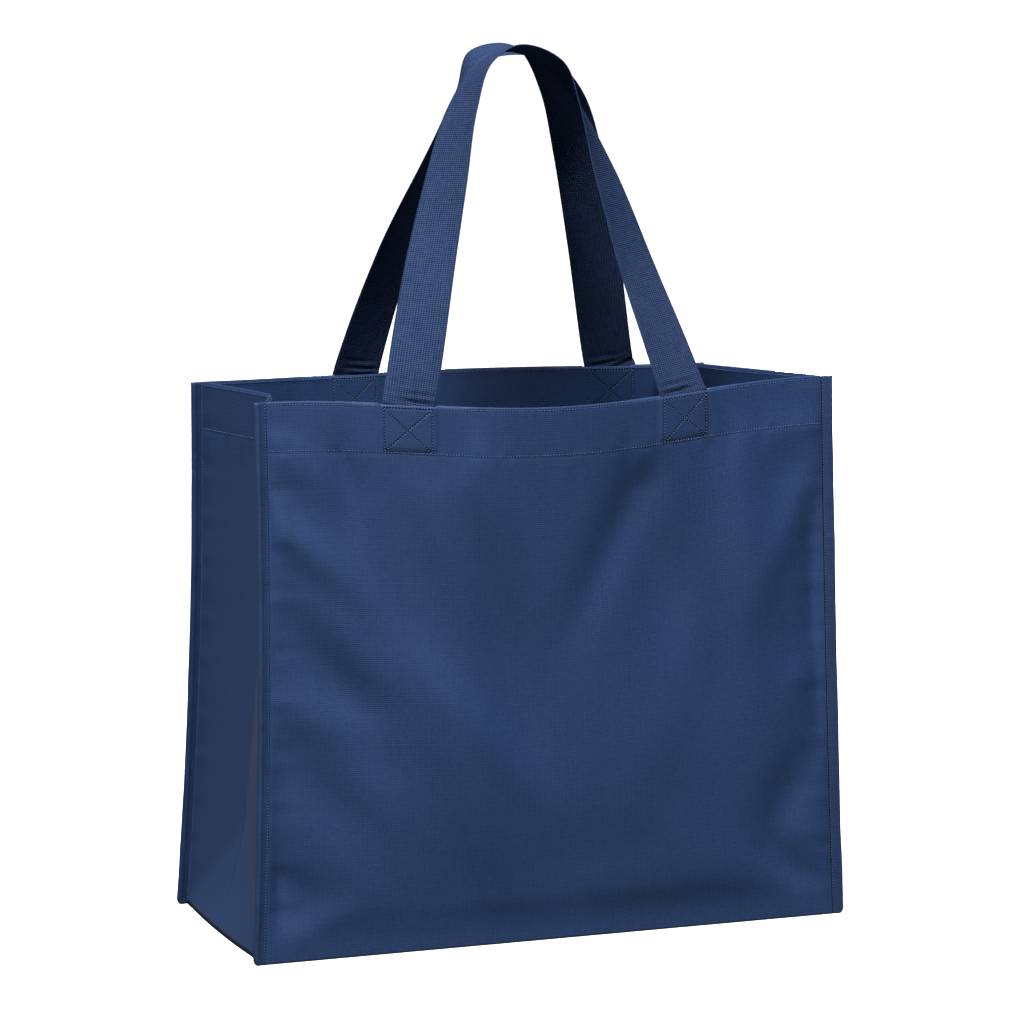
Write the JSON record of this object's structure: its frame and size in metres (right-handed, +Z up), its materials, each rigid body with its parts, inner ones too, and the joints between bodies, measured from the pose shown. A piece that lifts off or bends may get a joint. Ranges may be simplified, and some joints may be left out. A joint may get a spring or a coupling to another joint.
{
  "type": "reusable shopping bag",
  "caption": "Box-shaped open shopping bag in woven polyester, with upright seam fins, a hemmed mouth, folded side gussets and a pair of long webbing handles.",
  "frame": {"origin": "on the ground, under the middle of the base", "axes": "+X to the right along the wide front, +Y to the back, +Z up"},
  "size_m": [0.4558, 0.1994, 0.6431],
  "materials": {
    "cloth": "fine woven polyester with a soft satin sheen",
    "webbing": "matt ribbed webbing"
  },
  "bodies": {
    "root": {"main_panel": "cloth", "left_gusset": "cloth", "right_gusset": "cloth", "front_handle": "webbing", "back_handle": "webbing"}
  },
  "joints": []
}
